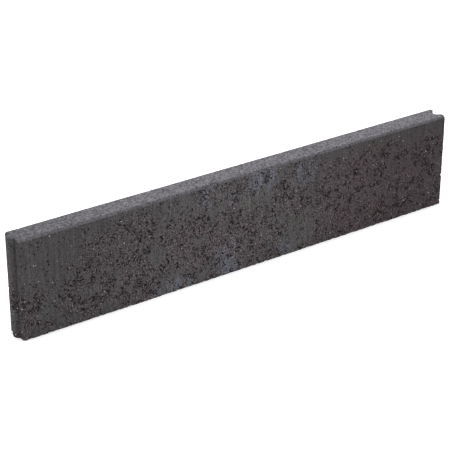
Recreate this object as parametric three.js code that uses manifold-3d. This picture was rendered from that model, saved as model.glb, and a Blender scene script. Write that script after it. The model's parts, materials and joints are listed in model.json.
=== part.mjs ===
// A precast concrete edging kerb, the kind that borders a lawn or a paved path.
// It stands on its long narrow edge. A tongue runs down one end and a groove down
// the other, so that kerbs set in a row lock together. It is cast in one mould from
// two mixes: a core mix, and a finer face mix on top of it, bonded while both are wet.
//
// Millimetres, +X along the kerb from the tongue to the groove, +Y from the front
// face to the rear face, +Z up. The origin is the centre of the underside, halfway
// between the nose of the tongue and the groove's end of the kerb.

import * as THREE from 'three';
import { mergeVertices } from 'three/addons/utils/BufferGeometryUtils.js';
import Module from 'manifold-3d';

// Body
const LAYING_LENGTH = 1000; // from shoulder to shoulder once kerbs are butted together
const HEIGHT = 200;
const THICKNESS = 50;
const CHAMFER = 4.5; // each way, along both long top edges
const FACE_MIX_DEPTH = 20;
const ARRIS_RADIUS = 1.5; // the upright corners of the mould

// Tongue, on the -X end
const TONGUE_REACH = 7;
const TONGUE_ROOT_WIDTH = 22;
const TONGUE_NOSE_WIDTH = 12;
const TONGUE_ROOT_RADIUS = 1.5;
const TONGUE_NOSE_RADIUS = 3;

// Groove, on the +X end: wider and deeper than the tongue, so the shoulders meet first
const GROOVE_DEPTH = 11;
const GROOVE_MOUTH_WIDTH = 25;
const GROOVE_FLOOR_WIDTH = 13;
const GROOVE_FLOOR_RADIUS = 3;

const CURVE_SEGMENTS = 6;
const CUTTER_MARGIN = 1; // how far a cutter stands out past what it cuts

const OVERALL_LENGTH = LAYING_LENGTH + TONGUE_REACH;
const NOSE_X = -OVERALL_LENGTH / 2;
const SHOULDER_X = NOSE_X + TONGUE_REACH;
const LIP_X = OVERALL_LENGTH / 2;
const GROOVE_FLOOR_X = LIP_X - GROOVE_DEPTH;
const CORE_HEIGHT = HEIGHT - FACE_MIX_DEPTH;

const wasm = await Module();
wasm.setup();

// ---------------------------------------------------------------- materials

/** Core mix: coarse sand and grit in dark pigmented cement, dull and slightly brown. */
function coreMixMaterial() {
  return new THREE.MeshStandardMaterial({ color: 0x4b4647, roughness: 0.93, metalness: 0 });
}

/** Face mix: fine sand, pressed flat, paler than the core where the cement has bloomed. */
function faceMixMaterial() {
  return new THREE.MeshStandardMaterial({ color: 0x7c7b80, roughness: 0.9, metalness: 0 });
}

// ------------------------------------------------------------ outline of the mould

/** Corners of half of an end joint, mirrored to give both sides in the order of travel. */
function bothSides(corners) {
  const mirrored = corners.map(({ x, y, radius }) => ({ x, y: -y, radius })).reverse();
  return [...mirrored, ...corners];
}

/** The groove, walked from its front lip to its rear lip. */
function grooveCorners() {
  return bothSides([
    { x: GROOVE_FLOOR_X, y: GROOVE_FLOOR_WIDTH / 2, radius: GROOVE_FLOOR_RADIUS },
    { x: LIP_X, y: GROOVE_MOUTH_WIDTH / 2, radius: ARRIS_RADIUS },
    { x: LIP_X, y: THICKNESS / 2, radius: ARRIS_RADIUS },
  ]);
}

/** The tongue, walked from its rear shoulder to its front shoulder. */
function tongueCorners() {
  return bothSides([
    { x: NOSE_X, y: -TONGUE_NOSE_WIDTH / 2, radius: TONGUE_NOSE_RADIUS },
    { x: SHOULDER_X, y: -TONGUE_ROOT_WIDTH / 2, radius: TONGUE_ROOT_RADIUS },
    { x: SHOULDER_X, y: -THICKNESS / 2, radius: ARRIS_RADIUS },
  ]);
}

/** A closed shape through the corners, each one rounded off by its own radius. */
function roundedShape(corners) {
  const shape = new THREE.Shape();
  corners.forEach((corner, index) => {
    const before = corners[(index + corners.length - 1) % corners.length];
    const after = corners[(index + 1) % corners.length];
    const start = pointTowards(corner, before);
    const end = pointTowards(corner, after);
    if (index === 0) {
      shape.moveTo(start.x, start.y);
    } else {
      shape.lineTo(start.x, start.y);
    }
    shape.quadraticCurveTo(corner.x, corner.y, end.x, end.y);
  });
  shape.closePath();
  return shape;
}

/** The point one radius away from a corner, towards its neighbour. */
function pointTowards(corner, neighbour) {
  const from = new THREE.Vector2(corner.x, corner.y);
  const to = new THREE.Vector2(neighbour.x, neighbour.y);
  return from.add(to.sub(from).setLength(corner.radius));
}

/** The kerb seen from above: the inside of the mould box. */
function mouldShape() {
  return roundedShape([...grooveCorners(), ...tongueCorners()]);
}

// ------------------------------------------------------------------ solids

/** The mould's outline filled from one height to another. */
function mouldFill(bottom, top) {
  const geometry = new THREE.ExtrudeGeometry(mouldShape(), {
    depth: top - bottom,
    bevelEnabled: false,
    curveSegments: CURVE_SEGMENTS,
  });
  geometry.translate(0, 0, bottom);
  return geometry;
}

/** A long three-sided bar that takes the chamfer off one top edge; side is -1 or 1. */
function chamferCutter(side) {
  const edge = (side * THICKNESS) / 2;
  const reach = CHAMFER + CUTTER_MARGIN;
  const section = new THREE.Shape();
  section.moveTo(edge - side * reach, HEIGHT + CUTTER_MARGIN);
  section.lineTo(edge + side * CUTTER_MARGIN, HEIGHT + CUTTER_MARGIN);
  section.lineTo(edge + side * CUTTER_MARGIN, HEIGHT - reach);
  section.closePath();
  const length = OVERALL_LENGTH + 2 * CUTTER_MARGIN;
  const geometry = new THREE.ExtrudeGeometry(section, { depth: length, bevelEnabled: false });
  // The section is drawn in X and Y and drawn out along Z: turn it to Y, Z and X.
  const turn = new THREE.Matrix4().makeBasis(
    new THREE.Vector3(0, 1, 0),
    new THREE.Vector3(0, 0, 1),
    new THREE.Vector3(1, 0, 0),
  );
  geometry.applyMatrix4(turn);
  geometry.translate(-length / 2, 0, 0);
  return geometry;
}

/** A geometry as a manifold-3d solid. */
function toSolid(geometry) {
  const bare = geometry.clone();
  bare.deleteAttribute('normal');
  bare.deleteAttribute('uv');
  const merged = mergeVertices(bare, 1e-4);
  return new wasm.Manifold(
    new wasm.Mesh({
      numProp: 3,
      vertProperties: new Float32Array(merged.attributes.position.array),
      triVerts: new Uint32Array(merged.index.array),
    }),
  );
}

/** A manifold-3d solid as a geometry. */
function toGeometry(solid) {
  const { vertProperties, triVerts } = solid.getMesh();
  const geometry = new THREE.BufferGeometry();
  geometry.setAttribute('position', new THREE.BufferAttribute(vertProperties, 3));
  geometry.setIndex(new THREE.BufferAttribute(triVerts, 1));
  geometry.computeVertexNormals();
  return geometry;
}

// --------------------------------------------------------------- sub-parts

function coreMix() {
  const mesh = new THREE.Mesh(mouldFill(0, CORE_HEIGHT), coreMixMaterial());
  mesh.name = 'core_mix';
  return mesh;
}

function faceMix() {
  const block = toSolid(mouldFill(CORE_HEIGHT, HEIGHT));
  const chamfered = [-1, 1].reduce(
    (solid, side) => solid.subtract(toSolid(chamferCutter(side))),
    block,
  );
  const mesh = new THREE.Mesh(toGeometry(chamfered), faceMixMaterial());
  mesh.name = 'face_mix';
  return mesh;
}

const kerb = new THREE.Group();
kerb.add(coreMix(), faceMix());

export default kerb;
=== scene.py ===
"""A precast concrete edging kerb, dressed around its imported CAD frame.

The kerb is one casting of two mixes: a dark core mix, and a finer face mix pressed on top of it. Each mix is
one closed skin, laid over the CAD shape as a fine grid, with the pores, drag marks and chipped arrises of
dry-pressed concrete cut into it by a Geometry Nodes tree. Grains of grit that show at the surface are
scattered over it.

Sizes in the fields are millimetres unless they say otherwise. Blender's own units are metres.
"""

import json
import logging
import math
from dataclasses import dataclass, field
from enum import Enum

import bpy
import numpy as np
from mathutils import Euler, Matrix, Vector


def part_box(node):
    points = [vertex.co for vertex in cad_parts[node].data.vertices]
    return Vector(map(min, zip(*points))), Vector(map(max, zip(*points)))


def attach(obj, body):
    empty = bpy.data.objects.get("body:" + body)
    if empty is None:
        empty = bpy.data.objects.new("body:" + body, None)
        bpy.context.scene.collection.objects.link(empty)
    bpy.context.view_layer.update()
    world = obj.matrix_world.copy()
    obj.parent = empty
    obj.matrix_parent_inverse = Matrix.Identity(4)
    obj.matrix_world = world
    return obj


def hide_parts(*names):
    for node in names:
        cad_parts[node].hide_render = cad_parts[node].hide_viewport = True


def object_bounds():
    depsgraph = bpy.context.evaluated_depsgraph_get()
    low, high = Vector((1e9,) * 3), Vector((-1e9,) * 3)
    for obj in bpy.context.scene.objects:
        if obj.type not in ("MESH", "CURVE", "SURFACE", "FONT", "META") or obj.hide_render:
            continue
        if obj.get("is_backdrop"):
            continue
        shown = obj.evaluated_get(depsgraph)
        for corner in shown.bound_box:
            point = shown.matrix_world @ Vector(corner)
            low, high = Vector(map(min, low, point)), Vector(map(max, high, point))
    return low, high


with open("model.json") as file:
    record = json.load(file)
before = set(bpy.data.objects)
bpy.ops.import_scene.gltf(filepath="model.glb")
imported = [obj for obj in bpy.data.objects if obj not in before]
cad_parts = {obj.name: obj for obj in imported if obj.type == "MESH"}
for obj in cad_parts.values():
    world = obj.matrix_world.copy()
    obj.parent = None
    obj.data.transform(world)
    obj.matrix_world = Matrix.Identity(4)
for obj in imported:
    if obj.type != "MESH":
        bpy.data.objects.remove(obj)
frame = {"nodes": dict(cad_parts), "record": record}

log = logging.getLogger("kerb")

MM = 0.001
METRE = 1000.0  # in millimetres
TINY = 1e-12  # keeps a length of nought out of a division
BODY = "root"
CAST_PLACE = "cast_place"  # where a point lay in the mould, before the relief moved it
OUTWARD = "outward"  # the mould wall's outward direction at a point
GRAIN_TONE = "grain_tone"

MATH = "ShaderNodeMath"
VECTOR_MATH = "ShaderNodeVectorMath"
MAP_RANGE = "ShaderNodeMapRange"
SMOOTH = {"interpolation_type": "SMOOTHSTEP"}
MIX = "ShaderNodeMix"
COLOUR = {"data_type": "RGBA"}
LARGER = {"operation": "MAXIMUM"}
ABSOLUTE = {"operation": "ABSOLUTE"}
LIT = {"operation": "SCALE"}  # a colour, or a length, times a number
NOISE = "ShaderNodeTexNoise"
SPLIT = "ShaderNodeSeparateXYZ"
PRINCIPLED = "ShaderNodeBsdfPrincipled"
NAMED = "GeometryNodeInputNamedAttribute"
STORE = "GeometryNodeStoreNamedAttribute"
RANDOM = "FunctionNodeRandomValue"
VECTOR_DATA = {"data_type": "FLOAT_VECTOR"}

Tree = bpy.types.NodeTree


# ----------------------------------------------------------------- node trees


@dataclass(frozen=True)
class Field:
    """A node's output, which varies over the surface, with the arithmetic of plain numbers."""

    node: bpy.types.Node
    output: int | str = 0

    @property
    def socket(self) -> bpy.types.NodeSocket:
        """Return the output's socket."""
        return self.node.outputs[self.output]

    def __getitem__(self, output: int | str) -> "Field":
        """Return another output of the same node."""
        return Field(self.node, output)

    def __add__(self, other: "Value") -> "Field":
        """Return the sum."""
        return self.combined("ADD", self, other)

    def __sub__(self, other: "Value") -> "Field":
        """Return this less the other."""
        return self.combined("SUBTRACT", self, other)

    def __rsub__(self, other: "Value") -> "Field":
        """Return the other less this."""
        return self.combined("SUBTRACT", other, self)

    def __mul__(self, other: "Value") -> "Field":
        """Return the product."""
        return self.combined("MULTIPLY", self, other)

    __radd__ = __add__

    def combined(self, operation: str, first: "Value", second: "Value") -> "Field":
        """Combine two values, of which one may be a plain number or a tuple of three.

        Args:
            operation: The operation's name.
            first: Its first value.
            second: Its second value.

        Returns:
            The result, which is a vector if either value is one.
        """
        values = [first, second]
        if any(isinstance(v, tuple) or isinstance(v, Field) and v.socket.type != "VALUE" for v in values):
            kind = VECTOR_MATH
            values = [(v, v, v) if isinstance(v, (int, float)) else v for v in values]
        else:
            kind = MATH
        return add_node(self.node.id_data, kind, {"operation": operation}, in0=values[0], in1=values[1])


Value = Field | float | tuple[float, float, float]


def add_node(tree: Tree, kind: str, settings: dict | None = None, **links: object) -> Field:
    """Add a node to a tree with its settings and what goes into its sockets.

    Args:
        tree: The node tree of a material, the world or a geometry modifier.
        kind: The node's type name.
        settings: The node's own properties, by name.
        **links: What goes into each input: a field to link, or a plain value. An input is named in lower case
            with underscores, or as in3 for the fourth input.

    Returns:
        The node's first output. Its other outputs are had from that by name or number.
    """
    node = tree.nodes.new(kind)
    for name, value in (settings or {}).items():
        setattr(node, name, value)
    by_name = {}
    for socket in node.inputs:
        by_name.setdefault(socket.name.lower().replace(" ", "_"), socket)
    for name, value in links.items():
        numbered = name.startswith("in") and name[2:].isdigit()
        socket = node.inputs[int(name[2:])] if numbered else by_name[name]
        if isinstance(value, Field):
            tree.links.new(value.socket, socket)
        else:
            socket.default_value = value
    return Field(node)


def linear(hex_colour: str) -> tuple[float, float, float, float]:
    """Turn an sRGB hex colour into the linear colour that shaders take.

    Args:
        hex_colour: Six hex digits, such as "4a4646".

    Returns:
        Linear red, green and blue, and alpha 1.
    """
    channels = [int(hex_colour[i : i + 2], 16) / 255 for i in (0, 2, 4)]
    curve = [c / 12.92 if c <= 0.04045 else ((c + 0.055) / 1.055) ** 2.4 for c in channels]
    return (*curve, 1.0)


# ------------------------------------------------------- what the concrete does


@dataclass(frozen=True)
class Bloom:
    """A cloud of lime bloom on the upright faces, where pigment shows bluish."""

    x: float
    z: float
    half_length: float
    half_height: float
    strength: float


@dataclass(frozen=True)
class CastSizes:
    """The sizes of the casting that its surface follows."""

    height: float
    face_depth: float
    chamfer: float
    shoulder_x: float
    root_half_width: float = 11.0
    blooms: tuple[Bloom, ...] = (
        Bloom(-170, 8, 58, 22, 1.0),
        Bloom(-52, 26, 36, 48, 1.0),
        Bloom(88, 18, 22, 34, 0.8),
        Bloom(-92, 178, 24, 34, 0.7),
        Bloom(-40, 160, 20, 24, 0.5),
        Bloom(38, 178, 46, 40, 1.0),
        Bloom(138, 174, 36, 34, 0.9),
    )


@dataclass(frozen=True)
class CastSurface:
    """How the surface of the dry-pressed concrete varies, as fields in one tree.

    The relief and the colours are both made of these, so that a pore is painted dark, a painted shade, where
    it is deep. Each pattern has the size of the real thing, but for the sand.
    """

    sizes: CastSizes
    tree: Tree
    place: Field  # the place in the mould, in metres
    patch_size: float = 34.0  # of closed paste
    swarm_size: float = 16.0  # of pores
    pore_size: float = 4.4
    pinhole_spacing: float = 4.2
    air_hole_spacing: float = 10.0
    sand_size: float = 3.2  # coarser than the real sand, which is under 2 mm and too fine to show
    drag_line: float = 2.4
    drag_band: float = 13.0
    wiped_waver: float = 45.0  # between the waves of the wiped bands' edge
    facing_waver: float = 60.0  # between the waves of the face mix's edge
    lime_streak: float = 17.0
    crumbled_length: float = 9.0

    @property
    def at(self) -> Field:
        """Return the place split into its X, Y and Z."""
        return add_node(self.tree, SPLIT, vector=self.place)

    def islands(self) -> Field:
        """Find the ragged patches of wet paste that closed the surface. They thin out towards the groove.

        Returns:
            1 in a patch and 0 outside it.
        """
        drawn = self.place * (1.0, 1.0, 0.8) + 6.2
        ragged = {"scale": METRE / self.patch_size, "detail": 6, "roughness": 0.68}
        blotches = add_node(self.tree, NOISE, vector=drawn, **ragged)
        patch = add_node(self.tree, MAP_RANGE, SMOOTH, value=blotches, from_min=0.505, from_max=0.575)
        along = {"value": self.at["X"], "from_min": 0.08, "from_max": 0.22}
        return patch * add_node(self.tree, MAP_RANGE, SMOOTH, **along, to_min=1.0, to_max=0.25)

    def bands(self) -> Field:
        """Find where the mould's steel wiped the surface shut: along the top and high on the tongue end.

        Returns:
            1 in a band and 0 outside it.
        """
        at = self.at
        waves = {"scale": METRE / self.wiped_waver, "detail": 3, "roughness": 0.6}
        waver = add_node(self.tree, NOISE, vector=self.place + 9.4, **waves)
        level = at["Z"] + (waver - 0.5) * 0.10
        start = (self.sizes.height - 44) * MM
        end = (self.sizes.height - 18) * MM
        near_top = add_node(self.tree, MAP_RANGE, SMOOTH, value=level, from_min=start, from_max=end)
        out = {"value": add_node(self.tree, MATH, ABSOLUTE, in0=at["X"]), "to_min": 0.35}
        near_ends = add_node(self.tree, MAP_RANGE, SMOOTH, **out, from_min=0.10, from_max=0.26)
        tongue = {"value": at["X"], "from_min": -0.30, "from_max": -0.42}
        tongue_end = add_node(self.tree, MAP_RANGE, SMOOTH, **tongue, to_max=0.95)
        high = add_node(self.tree, MAP_RANGE, SMOOTH, value=level, from_min=0.075, from_max=0.125)
        return add_node(self.tree, MATH, LARGER, in0=near_top * near_ends, in1=tongue_end * high)

    def openness(self) -> Field:
        """Return how far the paste stayed open over the grains: 0 closed and smooth, 1 open and pitted."""
        return 1.0 - add_node(self.tree, MATH, LARGER, in0=self.islands(), in1=self.bands())

    def cells(self, place: Field, size: float) -> tuple[Field, Field]:
        """Scatter one point in each cell of a lattice.

        Args:
            place: Where it is sampled, in metres.
            size: The cells' size.

        Returns:
            The distance to the nearest point, as a share of a cell, and that point's own chance from 0 to 1.
        """
        nearest = {"feature": "F1"}
        point = add_node(self.tree, "ShaderNodeTexVoronoi", nearest, vector=place, scale=METRE / size)
        return point["Distance"], add_node(self.tree, SPLIT, vector=point["Color"])["X"]

    def pits(self) -> Field:
        """Make the open pores: pinholes in clusters, and ragged hollows where they ran together.

        Returns:
            Their depth, from 0 to 1.
        """
        drawn = self.place * (1.1, 1.0, 1.0)
        swarms = {"scale": METRE / self.swarm_size, "detail": 3, "roughness": 0.6}
        swarm = add_node(self.tree, NOISE, vector=self.place + 3.1, **swarms)
        cluster = add_node(self.tree, MAP_RANGE, SMOOTH, value=swarm, from_min=0.36, from_max=0.62)
        crowded = cluster * add_node(self.tree, MAP_RANGE, SMOOTH, value=self.openness(), to_min=0.28)
        edge = add_node(self.tree, MAP_RANGE, SMOOTH, value=crowded, to_min=0.74, to_max=0.565)
        hollows = add_node(self.tree, NOISE, vector=drawn + 7.7, scale=METRE / self.pore_size)
        ragged = add_node(self.tree, MAP_RANGE, SMOOTH, value=hollows, from_min=edge, from_max=edge + 0.035)
        distance, chance = self.cells(drawn, self.pinhole_spacing)
        lucky = crowded * 0.75 - chance
        size = add_node(self.tree, MAP_RANGE, SMOOTH, value=lucky, from_max=0.10, to_max=0.46)
        pinholes = add_node(self.tree, MAP_RANGE, SMOOTH, value=distance, from_min=size, from_max=size * 0.6)
        return add_node(self.tree, MATH, LARGER, in0=ragged, in1=pinholes)

    def holes(self) -> Field:
        """Make the single air holes, which are round and few.

        Returns:
            Their depth, from 0 to 1.
        """
        distance, chance = self.cells(self.place, self.air_hole_spacing)
        size = add_node(self.tree, MAP_RANGE, SMOOTH, value=chance, from_min=0.30, to_max=0.25)
        return add_node(self.tree, MAP_RANGE, SMOOTH, value=distance, from_min=size, from_max=size * 0.35)

    def hollows(self) -> Field:
        """Return the depth of the pores and air holes together, from 0 to 1."""
        return add_node(self.tree, MATH, LARGER, in0=self.pits(), in1=self.holes())

    def grit(self) -> Field:
        """Make the bare sand and grit, which stand out where the surface is open.

        Returns:
            How far they stand out, from 0 to 1.
        """
        sandy = {"scale": METRE / self.sand_size, "roughness": 0.6}
        grains = add_node(self.tree, NOISE, vector=self.place + 8.8, **sandy)
        bare = add_node(self.tree, MAP_RANGE, SMOOTH, value=self.openness(), to_min=0.25)
        return add_node(self.tree, MAP_RANGE, SMOOTH, value=grains, from_min=0.25, from_max=0.75) * bare

    def drag(self) -> Field:
        """Draw the upright lines that the mould leaves as it is lifted off.

        Returns:
            A field that varies about 0.
        """
        fine = self.place * (1.0, 1.0, 0.03) + 1.3
        lines = add_node(self.tree, NOISE, vector=fine, scale=METRE / self.drag_line, roughness=0.6)
        broad = self.place * (1.0, 1.0, 0.05) + 5.9
        bands = add_node(self.tree, NOISE, vector=broad, scale=METRE / self.drag_band)
        return lines * 0.75 + bands * 0.25 - 0.5

    def facing(self) -> Field:
        """Find the finer face mix, which ends in an uneven line.

        Returns:
            Its share, from 0 to 1.
        """
        waves = {"scale": METRE / self.facing_waver, "detail": 3, "roughness": 0.6}
        waver = add_node(self.tree, NOISE, vector=self.place + 9.4, **waves)
        level = self.at["Z"] + (waver - 0.5) * 0.06
        line = (self.sizes.height - self.sizes.face_depth) * MM
        over_line = {"from_min": line - 0.018, "from_max": line + 0.010}
        return add_node(self.tree, MAP_RANGE, SMOOTH, value=level, **over_line)

    def bloom(self) -> Field:
        """Cloud the upright faces with lime bloom. The rear face's clouds lie the other way along.

        Returns:
            How much lime there is, from 0 to 1.
        """
        at = self.at
        drawn = self.place * (1.0, 1.0, 0.45) + 2.2
        streaks = {"scale": METRE / self.lime_streak, "detail": 4, "roughness": 0.65}
        streaky = add_node(self.tree, NOISE, vector=drawn, **streaks)
        ragged = add_node(self.tree, MAP_RANGE, SMOOTH, value=streaky, from_min=0.40, from_max=0.56)
        rear = add_node(self.tree, MATH, {"operation": "GREATER_THAN"}, in0=at["Y"], in1=0.0)
        flat = add_node(self.tree, "ShaderNodeCombineXYZ", x=at["X"] * (1.0 - rear * 2.0), z=at["Z"])
        clouds = []
        for cloud in self.sizes.blooms:
            middle = flat + (-cloud.x * MM, 0.0, -cloud.z * MM)
            round_place = middle * (METRE / cloud.half_length, 0.0, METRE / cloud.half_height)
            far = add_node(self.tree, VECTOR_MATH, {"operation": "LENGTH"}, in0=round_place)["Value"]
            thins = {"value": far, "from_min": 0.3, "from_max": 1.25}
            clouds.append(add_node(self.tree, MAP_RANGE, SMOOTH, **thins, to_min=cloud.strength, to_max=0.0))
        return add_node(self.tree, MATH, {"operation": "MINIMUM"}, in0=sum(clouds), in1=1.0) * ragged

    def root(self) -> Field:
        """Find the re-entrant corners at the roots of the tongue, which are painted darker as painted shade.

        Returns:
            How near they are, from 0 to 1.
        """
        at = self.at
        out = add_node(self.tree, MATH, ABSOLUTE, in0=at["Y"])
        sideways = out - self.sizes.root_half_width * MM
        inwards = at["X"] - self.sizes.shoulder_x * MM
        squares = sideways * sideways + inwards * inwards
        far = add_node(self.tree, MATH, {"operation": "SQRT"}, in0=squares)
        shade_reach = {"from_min": 0.8 * MM, "from_max": 4.0 * MM}
        return add_node(self.tree, MAP_RANGE, SMOOTH, value=far, **shade_reach, to_min=1.0, to_max=0.0)

    def chips(self) -> Field:
        """Crumble the arrises: more at the foot, and a little along the chamfer.

        Returns:
            How far they have crumbled, from 0 to 1.
        """
        up = self.at["Z"]
        foot = add_node(self.tree, MAP_RANGE, SMOOTH, value=up, from_max=3.2 * MM, to_min=1.0, to_max=0.0)
        over = up - (self.sizes.height - self.sizes.chamfer) * MM
        off = {"value": add_node(self.tree, MATH, ABSOLUTE, in0=over), "from_max": 2.6 * MM}
        arris = add_node(self.tree, MAP_RANGE, SMOOTH, **off, to_min=0.5, to_max=0.0)
        crumbs = {"scale": METRE / self.crumbled_length, "detail": 3, "roughness": 0.6}
        rough = add_node(self.tree, NOISE, vector=self.place + 4.4, **crumbs)
        crumbled = add_node(self.tree, MAP_RANGE, SMOOTH, value=rough, from_min=0.44, from_max=0.66)
        return add_node(self.tree, MATH, LARGER, in0=foot, in1=arris) * crumbled


# --------------------------------------------------------------------- finishes


@dataclass(frozen=True)
class Finish:
    """A surface finish with a name. build() makes its material."""

    name: str

    def new_material(self) -> bpy.types.Material:
        """Make a material with an empty tree."""
        material = bpy.data.materials.new(self.name)
        material.use_nodes = True
        material.node_tree.nodes.clear()
        return material


@dataclass(frozen=True)
class DryPressedConcrete(Finish):
    """Dark pigmented concrete, vibrated damp into a steel mould and stripped at once.

    The paste is dull and mottled, brownish where grains lie bare and greenish grey where the steel smeared it
    closed. Pores are painted near black as painted shade, upright drag lines show where the mould slid off,
    and the pressed top is finer and paler, with a violet cast from the lime in it; part of that paleness is
    painted light from above.
    """

    sizes: CastSizes
    bare: str = "403a3c"
    ruddy: str = "44393c"
    smeared: str = "3d3c3b"
    facing: str = "3d3a3b"
    bloomed: str = "50515a"
    # Painted shade: the inside of a pore is painted this near black.
    pore: str = "0a0707"
    # Partly painted light: the top is paler partly for its finer mix and partly to stand for the light from
    # above.
    pressed_top: str = "59575c"
    smeared_sheen: float = 0.84  # roughness of smeared paste
    bare_sheen: float = 0.95  # roughness of bare grain
    darkest_grain: float = 0.25  # how light the darkest grain of sand is, where the paste is 1
    top_sand: float = 3.6  # coarser than the real sand, which is too fine to show
    fine_sand: float = 1.1

    def build(self) -> bpy.types.Material:
        """Make the material from the surface's fields and the finish's colours."""
        material = self.new_material()
        tree = material.node_tree
        place = add_node(tree, "ShaderNodeAttribute", {"attribute_name": CAST_PLACE})["Vector"]
        outward = add_node(tree, "ShaderNodeAttribute", {"attribute_name": OUTWARD})["Vector"]
        up = add_node(tree, SPLIT, vector=outward)["Z"]
        surface = CastSurface(self.sizes, tree, place)
        openness = surface.openness()
        wiped = add_node(tree, MAP_RANGE, SMOOTH, value=1.0 - openness, to_min=0.35)
        drag = surface.drag() * wiped
        bands = surface.bands() * 0.4
        smeared = add_node(tree, MATH, LARGER, in0=surface.islands() * 0.9, in1=bands)

        paste = self.paste(surface, smeared)
        light = self.length_light(surface) * (drag * 2.2 + 1.0) * self.speckle(surface, openness)
        paste = add_node(tree, VECTOR_MATH, LIT, in0=paste, scale=light)
        body = self.over_the_arris(surface, paste, up)
        # Painted shade: the paste is painted down to half as light in the re-entrant corners at the tongue's
        # roots.
        painted_root_shade = add_node(tree, MAP_RANGE, SMOOTH, value=surface.root(), to_min=1.0, to_max=0.5)
        body = add_node(tree, VECTOR_MATH, LIT, in0=body, scale=painted_root_shade)

        # A pore's broken rim is painted lighter, a painted highlight, and its inside is painted nearly black,
        # a painted shade.
        wall = {"value": up, "from_min": 0.45, "from_max": 0.95}
        on_wall = add_node(tree, MAP_RANGE, SMOOTH, **wall, to_min=1.0, to_max=0.35)
        hollow = surface.hollows()
        lit = on_wall * 0.32 + 1.0
        rim = add_node(tree, MAP_RANGE, SMOOTH, value=hollow, from_max=0.12, to_min=1.0, to_max=lit)
        inside = add_node(tree, MAP_RANGE, SMOOTH, value=hollow, from_min=0.22, from_max=0.62) * on_wall
        rim_highlighted = add_node(tree, VECTOR_MATH, LIT, in0=body, scale=rim)
        colour = add_node(tree, MIX, COLOUR, in0=inside, in6=rim_highlighted, in7=linear(self.pore))[2]

        # Smeared paste has a faint sheen, and bare grains have none.
        sheen = {"to_min": self.bare_sheen, "to_max": self.smeared_sheen}
        roughness = add_node(tree, MAP_RANGE, SMOOTH, value=smeared, **sheen)

        sandy = {"scale": METRE / self.fine_sand, "detail": 3, "roughness": 0.7}
        rough = add_node(tree, MAP_RANGE, SMOOTH, value=openness, to_min=0.5)
        height = add_node(tree, NOISE, vector=place + 5.5, **sandy) * rough + drag
        bump = add_node(tree, "ShaderNodeBump", height=height, distance=0.6 * MM, strength=0.9)
        shader = add_node(tree, PRINCIPLED, base_color=colour, roughness=roughness, normal=bump)
        add_node(tree, "ShaderNodeOutputMaterial", surface=shader)
        return material

    def paste(self, surface: CastSurface, smeared: Field) -> Field:
        """Colour the paste: greenish where it is smeared and brownish where open, more so near the groove.

        Args:
            surface: The surface's fields.
            smeared: How far the steel smeared the paste, from 0 to 1.

        Returns:
            The colour.
        """
        tree = surface.tree
        ruddy = add_node(tree, MAP_RANGE, SMOOTH, value=surface.at["X"], from_min=0.10, from_max=0.30)
        paste = add_node(tree, MIX, COLOUR, in0=ruddy, in6=linear(self.bare), in7=linear(self.ruddy))[2]
        paste = add_node(tree, MIX, COLOUR, in0=smeared, in6=paste, in7=linear(self.smeared))[2]
        faced = surface.facing() * 0.6
        paste = add_node(tree, MIX, COLOUR, in0=faced, in6=paste, in7=linear(self.facing))[2]
        limed = surface.bloom() * 0.85
        return add_node(tree, MIX, COLOUR, in0=limed, in6=paste, in7=linear(self.bloomed))[2]

    def length_light(self, surface: CastSurface) -> Field:
        """Return how light the pigment is, most in the middle and least at the groove end, with the foot
        painted lighter as painted light.
        """
        tree, at = surface.tree, surface.at
        tongue = {"value": at["X"], "from_min": -0.50, "from_max": -0.10}
        tongue_end = add_node(tree, MAP_RANGE, SMOOTH, **tongue, to_min=0.74, to_max=1.06)
        groove = {"value": at["X"], "from_min": 0.02, "from_max": 0.44}
        groove_end = add_node(tree, MAP_RANGE, SMOOTH, **groove, to_min=1.0, to_max=0.56)
        # Painted light: the foot is painted up to a tenth lighter, to offset the shade that the floor leaves
        # there.
        foot = add_node(tree, MAP_RANGE, SMOOTH, value=at["Z"], from_max=0.16, to_min=1.10)
        return tongue_end * groove_end * foot

    def speckle(self, surface: CastSurface, openness: Field) -> Field:
        """Return how light each grain of the sand is, about 1: strongest where the surface is open."""
        tree = surface.tree
        drawn = surface.place * (1.1, 1.0, 1.0) + 8.8
        sand = add_node(tree, NOISE, vector=drawn, scale=METRE / surface.sand_size, roughness=0.6) - 0.5
        coarse = add_node(tree, MAP_RANGE, SMOOTH, value=openness, to_min=3.2, to_max=6.9)
        along = {"value": surface.at["X"], "from_min": 0.05, "from_max": 0.30}
        damp = add_node(tree, MAP_RANGE, SMOOTH, **along, to_min=1.0, to_max=0.72)
        return add_node(tree, MATH, LARGER, in0=sand * (coarse * damp) + 1.0, in1=self.darkest_grain)

    def over_the_arris(self, surface: CastSurface, paste: Field, up: Field) -> Field:
        """Colour the pressed top, and the chamfer, which the mould wiped and which lies between in tone, by
        how far each faces up. The top's paler tone is partly its finer mix and partly painted light from
        above, and the chamfer's middle tone is painted half-shade.

        Args:
            surface: The surface's fields.
            paste: The colour of the upright faces.
            up: How far the surface faces up.

        Returns:
            The colour of all three.
        """
        tree = surface.tree
        pressed = linear(self.pressed_top)[:3]
        sandy = {"scale": METRE / self.top_sand, "detail": 4, "roughness": 0.7}
        sand = add_node(tree, NOISE, vector=surface.place + 4.1, **sandy) - 0.5
        grain = add_node(tree, MATH, LARGER, in0=sand * 6.2 + 1.0, in1=self.darkest_grain)
        along = {"value": surface.at["X"], "from_min": -0.50, "from_max": -0.12}
        length = add_node(tree, MAP_RANGE, SMOOTH, **along, to_min=0.77, to_max=0.97)
        top = add_node(tree, VECTOR_MATH, LIT, in0=pressed, scale=grain * length)
        tones = {"value": grain, "from_min": 0.4, "from_max": 1.6}
        tone = add_node(tree, MAP_RANGE, SMOOTH, **tones, to_min=0.44, to_max=0.84)
        chamfer = add_node(tree, VECTOR_MATH, LIT, in0=pressed, scale=tone)
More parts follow.
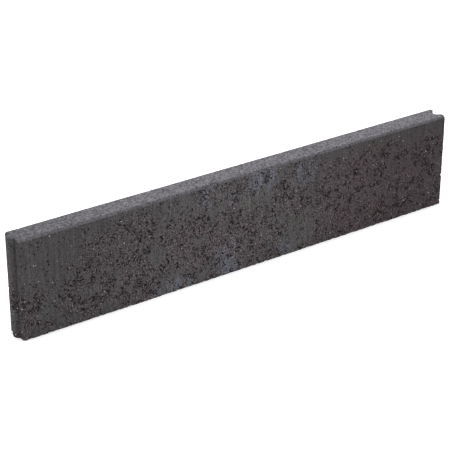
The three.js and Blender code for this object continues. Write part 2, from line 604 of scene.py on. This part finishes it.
        # Painted light and shade: the chamfer and the top take their tones from how far the surface faces up.
        on_chamfer = add_node(tree, MAP_RANGE, SMOOTH, value=up, from_min=0.30, from_max=0.60)
        wall = add_node(tree, MIX, COLOUR, in0=on_chamfer, in6=paste, in7=chamfer)[2]
        on_top = add_node(tree, MAP_RANGE, SMOOTH, value=up, from_min=0.72, from_max=0.97)
        return add_node(tree, MIX, COLOUR, in0=on_top, in6=wall, in7=top)[2]


@dataclass(frozen=True)
class AggregateGrain(Finish):
    """Quartz and flint grit that the pressing has laid bare: hard, pale grey to tan, with a slight gloss."""

    darkest: str = "544f4e"
    palest: str = "9c9894"
    flint: str = "8a6a50"
    flint_from: float = 0.93  # the tones above this are flint
    cloud_size: float = 0.9

    def build(self) -> bpy.types.Material:
        """Make the material, whose colour follows each grain's own tone."""
        material = self.new_material()
        tree = material.node_tree
        tone = add_node(tree, "ShaderNodeAttribute", {"attribute_name": GRAIN_TONE})["Fac"]
        place = add_node(tree, "ShaderNodeTexCoord")["Object"]
        pale = add_node(tree, MAP_RANGE, SMOOTH, value=tone, from_min=0.1, from_max=0.9)
        colour = add_node(tree, MIX, COLOUR, in0=pale, in6=linear(self.darkest), in7=linear(self.palest))[2]
        is_flint = add_node(tree, MATH, {"operation": "GREATER_THAN"}, in0=tone, in1=self.flint_from)
        colour = add_node(tree, MIX, COLOUR, in0=is_flint, in6=colour, in7=linear(self.flint))[2]
        clouds = add_node(tree, NOISE, vector=place, scale=METRE / self.cloud_size, roughness=0.6)
        cloudy = {"value": clouds, "from_min": 0.2, "from_max": 0.8}
        light = add_node(tree, MAP_RANGE, SMOOTH, **cloudy, to_min=0.8, to_max=1.2)
        colour = add_node(tree, VECTOR_MATH, LIT, in0=colour, scale=light)
        shader = add_node(tree, PRINCIPLED, base_color=colour, roughness=0.55)
        add_node(tree, "ShaderNodeOutputMaterial", surface=shader)
        return material


@dataclass(frozen=True)
class StudioPaper(Finish):
    """Matt white background paper, lit a little from below so that the kerb's shadow on it stays faint."""

    white: str = "f4f4f4"
    glow: float = 0.22
    tooth_size: float = 3.0  # coarser than real fibres, which are too fine to show

    def build(self) -> bpy.types.Material:
        """Make the material, with the faint tooth of the paper."""
        material = self.new_material()
        tree = material.node_tree
        place = add_node(tree, "ShaderNodeTexCoord")["Object"]
        fibres = add_node(tree, NOISE, vector=place, scale=METRE / self.tooth_size)
        tooth = add_node(tree, MAP_RANGE, SMOOTH, value=fibres, from_min=0.2, from_max=0.8, to_min=0.995)
        colour = add_node(tree, VECTOR_MATH, LIT, in0=linear(self.white)[:3], scale=tooth)
        glow = {"emission_color": colour, "emission_strength": self.glow}
        shader = add_node(tree, PRINCIPLED, base_color=colour, roughness=1.0, **glow)
        add_node(tree, "ShaderNodeOutputMaterial", surface=shader)
        return material


# ------------------------------------------------------------------- the casting


def quad_mesh(name: str, points: np.ndarray, faces: list[np.ndarray]) -> bpy.types.Mesh:
    """Make a mesh from points and faces.

    Args:
        name: The mesh's name.
        points: One row of X, Y and Z for each point, in metres.
        faces: Arrays of point numbers, one row for each face. Each array has its own number of corners.

    Returns:
        The mesh.
    """
    mesh = bpy.data.meshes.new(name)
    corners = np.concatenate([part.ravel() for part in faces]).astype(np.int32)
    sizes = np.concatenate([np.full(len(part), part.shape[1]) for part in faces]).astype(np.int32)
    starts = np.concatenate([[0], np.cumsum(sizes)[:-1]]).astype(np.int32)
    mesh.vertices.add(len(points))
    mesh.vertices.foreach_set("co", points.astype(np.float32).ravel())
    mesh.loops.add(len(corners))
    mesh.loops.foreach_set("vertex_index", corners)
    mesh.polygons.add(len(sizes))
    mesh.polygons.foreach_set("loop_start", starts)
    mesh.update(calc_edges=True)
    mesh.validate()
    return mesh


@dataclass(frozen=True)
class Mould:
    """The inside of the mould, read from the CAD frame: its outline from above and its heights, in metres."""

    low: Vector
    high: Vector
    shoulder_x: float
    lip_x: float
    tongue: np.ndarray
    groove: np.ndarray
    chamfer: float = 4.5 * MM
    tongue_reach: float = 5.0 * MM  # past the shoulders, all of the tongue's outline
    groove_reach: float = 15.0 * MM  # short of the lips, all of the groove's outline
    morph: float = 40.0 * MM  # how far in from an end the grid straightens out
    kept_width: float = 15.0 * MM  # from the middle plane, what the chamfers leave alone
    samples: int = 2001  # across the thickness, to measure how steep the end profiles are
    steepest: float = 4.0  # the most that steepness draws the grid's lines together

    @classmethod
    def from_frame(cls) -> "Mould":
        """Read the outline of the two ends from the core's CAD node."""
        low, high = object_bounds()
        mounts = {mount["name"]: mount["pos_m"] for mount in frame["record"]["mounts"]}
        shoulder_x = mounts["tongue_end_shoulders"][0]
        lip_x = mounts["groove_end_lips"][0]
        points = np.array([v.co for v in frame["nodes"]["core_mix"].data.vertices])
        ring = points[np.isclose(points[:, 2], low.z, atol=1e-5)]
        ends = []
        for inside in (ring[:, 0] < shoulder_x + cls.tongue_reach, ring[:, 0] > lip_x - cls.groove_reach):
            profile = ring[inside][:, [1, 0]].round(6)
            ends.append(np.unique(profile[np.argsort(profile[:, 0])], axis=0))
        return cls(Vector(low), Vector(high), shoulder_x, lip_x, *ends)

    def stations_across(self, step: float) -> np.ndarray:
        """Return stations from the front to the rear face, closer together where the end profiles are steep.

        Args:
            step: The distance between stations along the profiles.

        Returns:
            The stations' Y.
        """
        fine = np.linspace(self.low.y, self.high.y, self.samples)
        slopes = [np.gradient(np.interp(fine, *profile.T), fine) for profile in (self.tongue, self.groove)]
        pace = np.sqrt(1 + slopes[0] ** 2 + slopes[1] ** 2).clip(None, self.steepest)
        travelled = np.concatenate([[0], np.cumsum((pace[1:] + pace[:-1]) / 2 * np.diff(fine))])
        marks = np.linspace(0, travelled[-1], round(travelled[-1] / (step * MM)) + 1)
        return np.interp(marks, travelled, fine)

    def place(self, x: np.ndarray, y: np.ndarray, z: np.ndarray) -> np.ndarray:
        """Bend a plain block's points onto the mould's walls.

        Args:
            x: From the shoulders to the lips.
            y: From the front face to the rear face.
            z: Height.

        Returns:
            One row of X, Y and Z for each point.
        """
        at_tongue = np.clip(1 - (x - self.shoulder_x) / self.morph, 0, 1) ** 2
        at_groove = np.clip(1 - (self.lip_x - x) / self.morph, 0, 1) ** 2
        bent = x + at_tongue * (np.interp(y, *self.tongue.T) - self.shoulder_x)
        bent = bent + at_groove * (np.interp(y, *self.groove.T) - self.lip_x)
        cut = np.clip(z - (self.high.z - self.chamfer), 0, None)
        outer = self.high.y - self.kept_width
        beyond = np.clip(np.abs(y) - self.kept_width, 0, None)
        inset = np.sign(y) * beyond / outer * cut
        return np.stack([bent, y - inset, z], axis=1)


class Side(Enum):
    """The sides of a block, each as the axis that it faces along and whether it is the far one."""

    TONGUE_END = (0, False)
    GROOVE_END = (0, True)
    FRONT = (1, False)
    REAR = (1, True)
    UNDERSIDE = (2, False)
    TOP = (2, True)


@dataclass
class ReliefTree:
    """The Geometry Nodes tree that cuts the concrete's relief into a smooth skin."""

    sizes: CastSizes
    pit_depth: float = 2.2
    hole_depth: float = 3.0
    grit_height: float = 0.6
    grit_level: float = 0.45  # the share of the sand that stands proud of the mould's wall
    drag_depth: float = 0.35
    sag_depth: float = 0.7
    sag_length: float = 140.0
    chip_depth: float = 1.3
    sockets: dict[str, str] = field(default_factory=dict)

    def build(self) -> Tree:
        """Build the tree. Its inputs are the depths, in millimetres, and the material."""
        tree = bpy.data.node_groups.new("cast_relief", "GeometryNodeTree")
        tree.interface.new_socket("Geometry", in_out="INPUT", socket_type="NodeSocketGeometry")
        for label in ("Pit depth", "Hole depth", "Grit height", "Drag depth", "Sag depth", "Chip depth"):
            socket = tree.interface.new_socket(label, in_out="INPUT", socket_type="NodeSocketFloat")
            self.sockets[label] = socket.identifier
        socket = tree.interface.new_socket("Finish", in_out="INPUT", socket_type="NodeSocketMaterial")
        self.sockets["Finish"] = socket.identifier
        tree.interface.new_socket("Geometry", in_out="OUTPUT", socket_type="NodeSocketGeometry")

        given = add_node(tree, "NodeGroupInput")
        place = add_node(tree, "GeometryNodeInputPosition")
        outward = add_node(tree, NAMED, VECTOR_DATA, name=OUTWARD)
        depth = self.depth(CastSurface(self.sizes, tree, place), outward, given)
        stored = {"data_type": "FLOAT_VECTOR", "domain": "POINT"}
        skin = given["Geometry"]
        kept = add_node(tree, STORE, stored, geometry=skin, name=CAST_PLACE, value=place)
        inward = add_node(tree, VECTOR_MATH, LIT, in0=outward, scale=depth * -MM)
        cut = add_node(tree, "GeometryNodeSetPosition", geometry=kept, offset=inward)
        real = add_node(tree, "GeometryNodeRealizeInstances", geometry=cut)
        dressed = add_node(tree, "GeometryNodeSetMaterial", geometry=real, material=given["Finish"])
        add_node(tree, "NodeGroupOutput", in0=dressed)
        return tree

    def depth(self, surface: CastSurface, outward: Field, given: Field) -> Field:
        """Find how far below the mould's wall each point lies.

        Args:
            surface: The surface's fields.
            outward: The wall's direction.
            given: The tree's inputs.

        Returns:
            The depth.
        """
        tree = surface.tree
        up = add_node(tree, SPLIT, vector=outward)["Z"]
        walls = {"value": up, "from_min": 0.45, "from_max": 0.95}
        wall = add_node(tree, MAP_RANGE, SMOOTH, **walls, to_min=1.0, to_max=0.22)
        pits = surface.pits() * wall * given["Pit depth"]
        holes = surface.holes() * wall * given["Hole depth"]
        open_pores = add_node(tree, MATH, LARGER, in0=pits, in1=holes)
        steep = {"value": add_node(tree, MATH, ABSOLUTE, in0=up), "from_min": 0.2, "from_max": 0.6}
        upright = add_node(tree, MAP_RANGE, SMOOTH, **steep, to_min=1.0, to_max=0.3)
        grit = (self.grit_level - surface.grit()) * wall * given["Grit height"]
        drag = surface.drag() * upright * given["Drag depth"]
        waves = add_node(tree, NOISE, vector=surface.place + 2.9, scale=METRE / self.sag_length)
        sag = (waves - 0.5) * given["Sag depth"]
        return open_pores + grit + drag + sag + surface.chips() * given["Chip depth"]

    def apply(self, skin: bpy.types.Object, tree: Tree, material: bpy.types.Material) -> None:
        """Put the tree on a skin as a modifier and set its inputs.

        Args:
            skin: The smooth skin.
            tree: The tree.
            material: The finish.
        """
        modifier = skin.modifiers.new("relief", "NODES")
        modifier.node_group = tree
        modifier[self.sockets["Pit depth"]] = self.pit_depth
        modifier[self.sockets["Hole depth"]] = self.hole_depth
        modifier[self.sockets["Grit height"]] = self.grit_height
        modifier[self.sockets["Drag depth"]] = self.drag_depth
        modifier[self.sockets["Sag depth"]] = self.sag_depth
        modifier[self.sockets["Chip depth"]] = self.chip_depth
        modifier[self.sockets["Finish"]] = material


def plain_copy(source: bpy.types.Object, name: str) -> bpy.types.Object:
    """Turn an object and its modifiers into a plain mesh object and remove the first one.

    Args:
        source: The object, with its modifiers.
        name: The new object's name.

    Returns:
        The plain object, at the origin.
    """
    graph = bpy.context.evaluated_depsgraph_get()
    made = source.evaluated_get(graph)
    mesh = bpy.data.meshes.new_from_object(made, preserve_all_data_layers=True, depsgraph=graph)
    mesh.name = name
    bpy.data.objects.remove(source)
    finish = mesh.materials[-1]
    mesh.materials.clear()
    mesh.materials.append(finish)
    mesh.polygons.foreach_set("material_index", np.zeros(len(mesh.polygons), dtype=np.int32))
    piece = bpy.data.objects.new(name, mesh)
    bpy.context.scene.collection.objects.link(piece)
    return piece


@dataclass
class CastLayer:
    """One of the two mixes in the casting, as a closed skin."""

    name: str
    node: str
    mould: Mould
    hidden: Side  # the side that meets the other mix
    triangles: int
    step: float = 1.3
    step_across: float = 1.0
    crease_deg: float = 38.0  # sharper edges than this are shaded as edges

    def stations(self) -> list[np.ndarray]:
        """Return where the grid's lines lie along X, Y and Z, in metres."""
        low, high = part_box(self.node)
        along = self.even(self.mould.shoulder_x, self.mould.lip_x, self.step)
        upwards = self.even(low.z, high.z, self.step)
        chamfer_foot = self.mould.high.z - self.mould.chamfer
        if high.z > chamfer_foot > low.z:
            upwards[np.abs(upwards - chamfer_foot).argmin()] = chamfer_foot
        return [along, self.mould.stations_across(self.step_across), upwards]

    @staticmethod
    def even(first: float, last: float, step: float) -> np.ndarray:
        """Return even stations from first to last, about a step apart."""
        return np.linspace(first, last, round((last - first) / (step * MM)) + 1)

    def side_grid(self, side: Side, counts: tuple[int, int, int]) -> np.ndarray:
        """Number the lattice points of one side.

        Args:
            side: Which side of the block.
            counts: How many lattice points there are along X, Y and Z.

        Returns:
            A grid of lattice numbers, laid out so that its quads face outwards.
        """
        axis, far = side.value
        numbers = np.arange(np.prod(counts)).reshape(counts)
        grid = np.take(numbers, counts[axis] - 1 if far else 0, axis=axis)
        outward_order = far if axis != 1 else not far
        return grid if outward_order else grid.T

    def build_skin(self) -> bpy.types.Object:
        """Build the smooth closed skin, with the mould's outward direction at each point."""
        lines = self.stations()
        counts = tuple(len(line) for line in lines)
        quads = {}
        for side in Side:
            grid = self.side_grid(side, counts)
            if side is not self.hidden:
                corners = (grid[:-1, :-1], grid[1:, :-1], grid[1:, 1:], grid[:-1, 1:])
                quads[side] = np.stack([c.ravel() for c in corners], axis=1)
        rim = self.rim(self.side_grid(self.hidden, counts))
        lattice, numbers = np.unique(np.concatenate(list(quads.values())), return_inverse=True)
        shell = numbers.reshape(-1, 4)
        rim_numbers = np.searchsorted(lattice, rim).reshape(1, -1)
        i, j, k = np.unravel_index(lattice, counts)
        points = self.mould.place(lines[0][i], lines[1][j], lines[2][k])
        mesh = quad_mesh(self.name, points, [shell, rim_numbers])
        outward = self.outward(points, shell)
        mesh.attributes.new(OUTWARD, "FLOAT_VECTOR", "POINT").data.foreach_set("vector", outward.ravel())
        skin = bpy.data.objects.new(self.name, mesh)
        bpy.context.scene.collection.objects.link(skin)
        return skin

    @staticmethod
    def rim(grid: np.ndarray) -> np.ndarray:
        """Return the lattice numbers round the edge of a side, in order, for its one flat face."""
        return np.concatenate([grid[:-1, 0], grid[-1, :-1], grid[:0:-1, -1], grid[0, :0:-1]])

    @staticmethod
    def outward(points: np.ndarray, quads: np.ndarray) -> np.ndarray:
        """Return each point's outward direction, from the faces that met the mould."""
        a, b, c, d = (points[quads[:, corner]] for corner in range(4))
        normals = np.cross(c - a, d - b)
        normals /= np.linalg.norm(normals, axis=1, keepdims=True).clip(TINY)
        summed = np.zeros_like(points)
        for corner in range(4):
            np.add.at(summed, quads[:, corner], normals)
        return (summed / np.linalg.norm(summed, axis=1, keepdims=True).clip(TINY)).astype(np.float32)

    def build(self, relief: ReliefTree, tree: Tree, material: bpy.types.Material) -> bpy.types.Object:
        """Build the skin, cut its relief, thin its flat places and return it as a plain piece.

        Args:
            relief: The relief's depths.
            tree: The relief's node tree.
            material: The finish.

        Returns:
            The finished piece.
        """
        skin = self.build_skin()
        dense = sum(len(polygon.vertices) - 2 for polygon in skin.data.polygons)
        relief.apply(skin, tree, material)
        thin = skin.modifiers.new("thin", "DECIMATE")
        thin.ratio = min(1.0, self.triangles / dense)
        thin.use_collapse_triangulate = True
        piece = plain_copy(skin, self.name)
        piece.data.set_sharp_from_angle(angle=math.radians(self.crease_deg))
        return piece


@dataclass
class ExposedAggregate:
    """Grit that shows in a layer's skin, mostly sunk in the paste, and thicker where the skin is open."""

    name: str
    sizes: CastSizes
    seed: int
    per_square_metre: float = 14000.0
    smallest: float = 1.4
    largest: float = 4.8
    mostly_small: float = 2.4  # the power of an even chance that a grain's size follows
    sunk: float = 0.33  # how deep a grain's middle lies under the skin, as a share of its size
    full_turn: float = 6.283
    sockets: dict[str, str] = field(default_factory=dict)

    def build_tree(self) -> Tree:
        """Build the tree that scatters the grains. Its inputs are their number, sizes and finish."""
        tree = bpy.data.node_groups.new(self.name + "_scatter", "GeometryNodeTree")
        tree.interface.new_socket("Geometry", in_out="INPUT", socket_type="NodeSocketGeometry")
        for label in ("Grains per square metre", "Smallest", "Largest"):
            socket = tree.interface.new_socket(label, in_out="INPUT", socket_type="NodeSocketFloat")
            self.sockets[label] = socket.identifier
        socket = tree.interface.new_socket("Finish", in_out="INPUT", socket_type="NodeSocketMaterial")
        self.sockets["Finish"] = socket.identifier
        tree.interface.new_socket("Geometry", in_out="OUTPUT", socket_type="NodeSocketGeometry")

        given = add_node(tree, "NodeGroupInput")
        skin = given["Geometry"]
        scattered = {"mesh": skin, "density": self.density(tree, given), "seed": self.seed}
        random = {"distribute_method": "RANDOM"}
        spread = add_node(tree, "GeometryNodeDistributePointsOnFaces", random, **scattered)

        grade = add_node(tree, MATH, {"operation": "POWER"}, in0=self.chance(tree, 1), in1=self.mostly_small)
        size = (grade * (given["Largest"] - given["Smallest"]) + given["Smallest"]) * MM
        inward = add_node(tree, VECTOR_MATH, LIT, in0=spread["Normal"], scale=size * -self.sunk)
        bedded = add_node(tree, "GeometryNodeSetPosition", geometry=spread["Points"], offset=inward)

        turns = (self.full_turn, self.full_turn, self.full_turn)
        turn = add_node(tree, RANDOM, VECTOR_DATA, in1=turns, seed=self.seed + 2)
        laid = {"points": bedded, "instance": self.one_grain(tree), "rotation": turn, "scale": size}
        grains = add_node(tree, "GeometryNodeInstanceOnPoints", **laid)
        stored = {"data_type": "FLOAT", "domain": "INSTANCE"}
        tone = self.chance(tree, 3)
        toned = add_node(tree, STORE, stored, geometry=grains, name=GRAIN_TONE, value=tone)
        real = add_node(tree, "GeometryNodeRealizeInstances", geometry=toned)
        dressed = add_node(tree, "GeometryNodeSetMaterial", geometry=real, material=given["Finish"])
        add_node(tree, "NodeGroupOutput", in0=dressed)
        return tree

    def density(self, tree: Tree, given: Field) -> Field:
        """Find how thickly the grains lie: on the walls more than on the top, and in no pore.

        Args:
            tree: The scattering tree.
            given: Its inputs.

        Returns:
            The number of grains on a square metre.
        """
        place = add_node(tree, NAMED, VECTOR_DATA, name=CAST_PLACE)
        outward = add_node(tree, NAMED, VECTOR_DATA, name=OUTWARD)
        surface = CastSurface(self.sizes, tree, place)
        normal = add_node(tree, "GeometryNodeInputNormal")
        along = add_node(tree, VECTOR_MATH, {"operation": "DOT_PRODUCT"}, in0=normal, in1=outward)["Value"]
        on_wall = add_node(tree, MATH, {"operation": "GREATER_THAN"}, in0=along, in1=0.7)
        open_here = add_node(tree, MAP_RANGE, SMOOTH, value=surface.openness(), to_min=0.2)
        up = {"value": add_node(tree, SPLIT, vector=outward)["Z"], "from_min": 0.4, "from_max": 0.8}
        off_top = add_node(tree, MAP_RANGE, SMOOTH, **up, to_min=1.0, to_max=0.25)
        solid = 1.0 - surface.hollows()
        return given["Grains per square metre"] * on_wall * solid * open_here * off_top

    def chance(self, tree: Tree, stream: int) -> Field:
        """Return a random field from 0 to 1, different for each stream."""
        return add_node(tree, RANDOM, {"data_type": "FLOAT"}, in2=0.0, in3=1.0, seed=self.seed + stream)[1]

    @staticmethod
    def one_grain(tree: Tree) -> Field:
        """Make one crushed grain, a lumpy twenty-sided stone one unit across."""
        ball = add_node(tree, "GeometryNodeMeshIcoSphere", radius=0.5, subdivisions=1)
        at = add_node(tree, "GeometryNodeInputPosition")
        lumps = add_node(tree, NOISE, vector=at + 0.7, scale=METRE / 600, detail=1)
        swell = lumps * 0.9 + 0.55
        swollen = add_node(tree, VECTOR_MATH, LIT, in0=at * (1.2, 0.95, 0.8), scale=swell)
        return add_node(tree, "GeometryNodeSetPosition", geometry=ball, position=swollen)

    def build(self, skin: bpy.types.Object, material: bpy.types.Material) -> bpy.types.Object:
        """Scatter the grains over a layer's finished skin.

        Args:
            skin: The layer's piece.
            material: The grains' finish.

        Returns:
            The grains, as one piece.
        """
        ground = bpy.data.objects.new(self.name, skin.data.copy())
        bpy.context.scene.collection.objects.link(ground)
        tree = self.build_tree()
        modifier = ground.modifiers.new("scatter", "NODES")
        modifier.node_group = tree
        modifier[self.sockets["Grains per square metre"]] = self.per_square_metre
        modifier[self.sockets["Smallest"]] = self.smallest
        modifier[self.sockets["Largest"]] = self.largest
        modifier[self.sockets["Finish"]] = material
        return plain_copy(ground, self.name)


# --------------------------------------------------------------------- the studio


@dataclass(frozen=True)
class Studio:
    """The floor, the soft light and the camera."""

    yaw_deg: float = 35.42
    pitch_deg: float = 26.0
    lens: float = 125.6
    aim: Vector = Vector((-0.047, -0.013, 0.1))  # in metres, like the rest
    distance: float = 3.011
    floor_half: float = 4.0
    floor_gap: float = 0.0004
    box_height: float = 3.6
    box_side: float = 5.5
    box_watts: float = 312.0

    def lay_floor(self, paper: bpy.types.Material) -> None:
        """Lay the pale floor just under the kerb."""
        half, z = self.floor_half, -self.floor_gap
        corners = np.array([(-half, -half, z), (half, -half, z), (half, half, z), (-half, half, z)])
        mesh = quad_mesh("floor", corners, [np.array([[0, 1, 2, 3]])])
        mesh.materials.append(paper)
        floor = bpy.data.objects.new("floor", mesh)
        bpy.context.scene.collection.objects.link(floor)
        floor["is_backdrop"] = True

    def hang_soft_box(self) -> None:
        """Hang one large square soft box over the kerb and face it to the kerb."""
        data = bpy.data.lights.new("overhead", "AREA")
        data.shape = "SQUARE"
        data.size = self.box_side
        data.energy = self.box_watts
        light = bpy.data.objects.new("overhead", data)
        light.location = (0.0, 0.0, self.box_height)
        light.rotation_euler = (self.aim - light.location).to_track_quat("-Z", "Y").to_euler()
        bpy.context.scene.collection.objects.link(light)

    def light_room(self) -> None:
        """Fill the shadows weakly from the room, whose walls are pale low down."""
        world = bpy.data.worlds.new("room")
        bpy.context.scene.world = world
        world.use_nodes = True
        tree = world.node_tree
        tree.nodes.clear()
        direction = add_node(tree, "ShaderNodeTexCoord")["Generated"]
        rising = {"value": add_node(tree, SPLIT, vector=direction)["Z"], "from_min": 0.12, "from_max": 0.34}
        strength = add_node(tree, MAP_RANGE, SMOOTH, **rising, to_min=0.95, to_max=0.16)
        walls = add_node(tree, "ShaderNodeBackground", color=linear("ffffff"), strength=strength)
        add_node(tree, "ShaderNodeOutputWorld", surface=walls)
        bpy.context.scene.view_settings.view_transform = "Standard"

    def set_camera(self) -> None:
        """Set the camera in front of the tongue end, a little above the kerb."""
        data = bpy.data.cameras.new("camera")
        data.sensor_width = 36.0
        data.lens = self.lens
        camera = bpy.data.objects.new("camera", data)
        turn = Euler((math.radians(90.0 - self.pitch_deg), 0.0, math.radians(-self.yaw_deg)))
        camera.rotation_euler = turn
        camera.location = self.aim - turn.to_matrix() @ Vector((0.0, 0.0, -self.distance))
        bpy.context.scene.collection.objects.link(camera)
        bpy.context.scene.camera = camera


def main() -> None:
    """Build the kerb, dress it and set up the studio."""
    logging.basicConfig(level=logging.INFO, format="%(name)s: %(message)s")
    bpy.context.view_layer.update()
    mould = Mould.from_frame()
    core_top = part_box("core_mix")[1].z
    height = mould.high.z
    sizes = CastSizes(height / MM, (height - core_top) / MM, mould.chamfer / MM, mould.shoulder_x / MM)

    concrete = DryPressedConcrete("dry_pressed_anthracite_concrete", sizes).build()
    relief = ReliefTree(sizes)
    tree = relief.build()
    layers = [
        CastLayer("core_concrete", "core_mix", mould, Side.TOP, triangles=190_000),
        CastLayer("face_concrete", "face_mix", mould, Side.UNDERSIDE, triangles=90_000),
    ]
    grit = AggregateGrain("crushed_grit").build()
    for number, layer in enumerate(layers):
        skin = layer.build(relief, tree, concrete)
        aggregate = ExposedAggregate(layer.node.replace("mix", "grit"), sizes, seed=11 + 10 * number)
        for piece in (skin, aggregate.build(skin, grit)):
            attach(piece, BODY)
            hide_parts(layer.node)
            log.info("%s: %d triangles", piece.name, len(piece.data.polygons))

    studio = Studio()
    studio.lay_floor(StudioPaper("white_background_paper").build())
    studio.hang_soft_box()
    studio.light_room()
    studio.set_camera()


if __name__ == "__main__":
    main()
